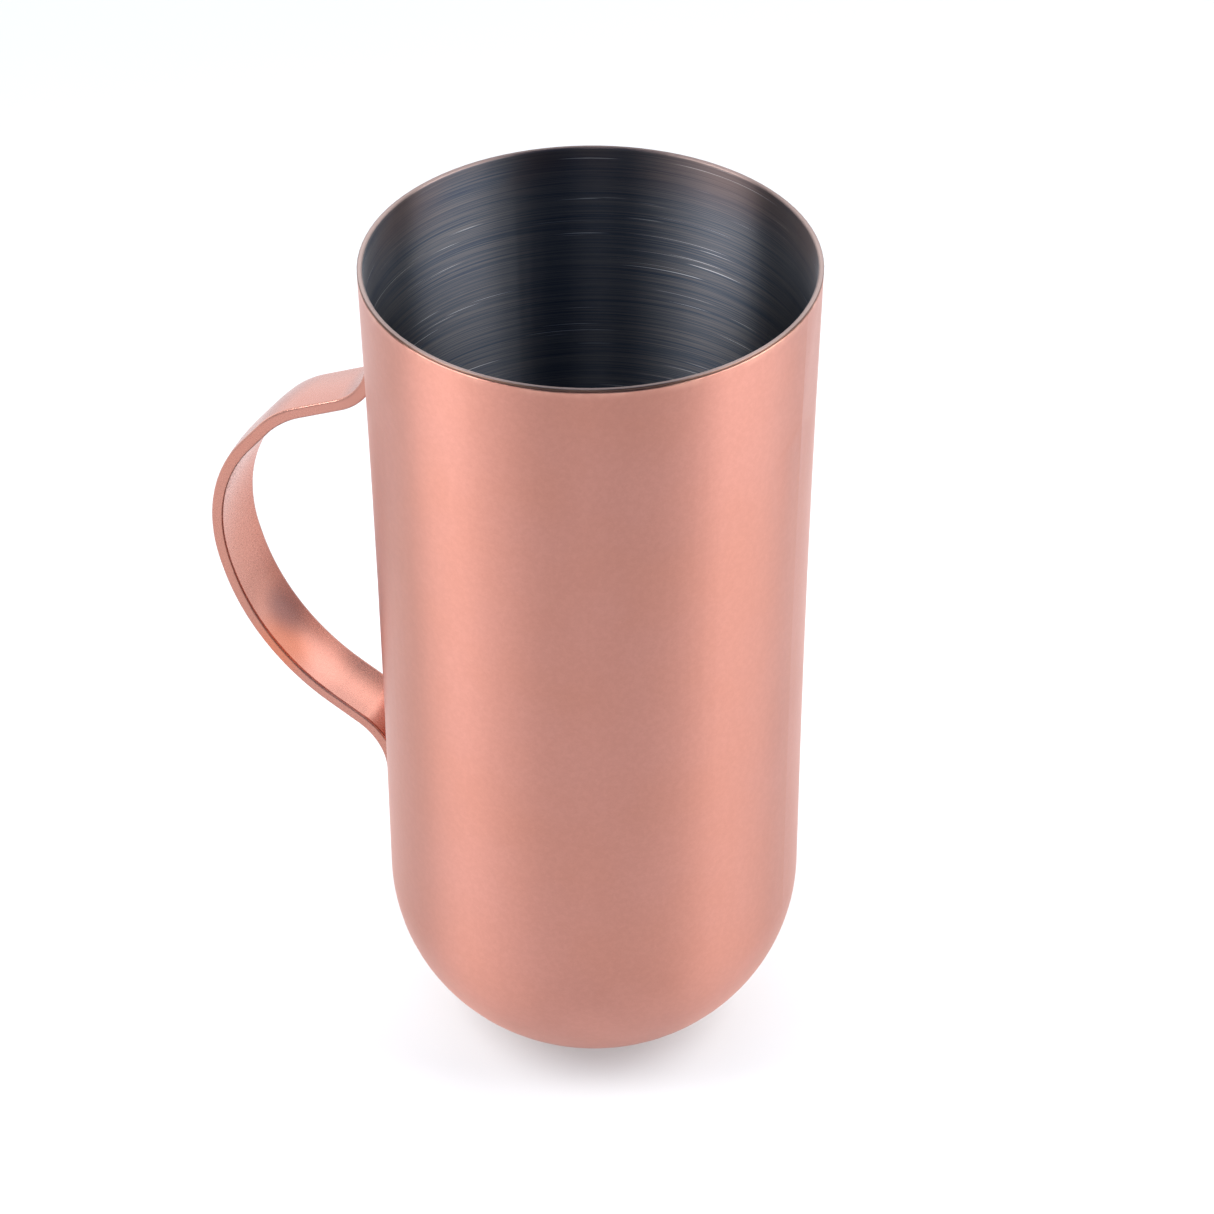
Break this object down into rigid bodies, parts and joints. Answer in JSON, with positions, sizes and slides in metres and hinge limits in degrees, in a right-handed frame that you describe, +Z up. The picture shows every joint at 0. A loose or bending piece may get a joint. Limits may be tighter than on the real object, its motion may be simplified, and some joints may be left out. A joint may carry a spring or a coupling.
{
  "type": "milk frothing jug",
  "caption": "Tall round steel-lined copper jug with a rounded base, a slightly flared lip and one bent strap handle, for frothing and pouring milk.",
  "frame": {"origin": "centre of the standing ring, on the cup's axis, in the plane that the jug stands on", "axes": "+Z up along the cup's axis, handle towards -X, symmetric about the XZ plane"},
  "size_m": [0.1156, 0.08, 0.1644],
  "materials": {
    "copper_jacket": "satin copper, brushed",
    "steel_liner": "brushed round the axis",
    "sealing_compound": "matt",
    "copper_strap": "satin copper, brushed along its length",
    "weld_metal": "as welded"
  },
  "bodies": {
    "root": {"outer_shell": "copper_jacket", "inner_liner": "steel_liner", "rim_seal": "sealing_compound", "handle_strap": "copper_strap", "upper_spot_welds": "weld_metal", "lower_spot_welds": "weld_metal"}
  },
  "joints": []
}
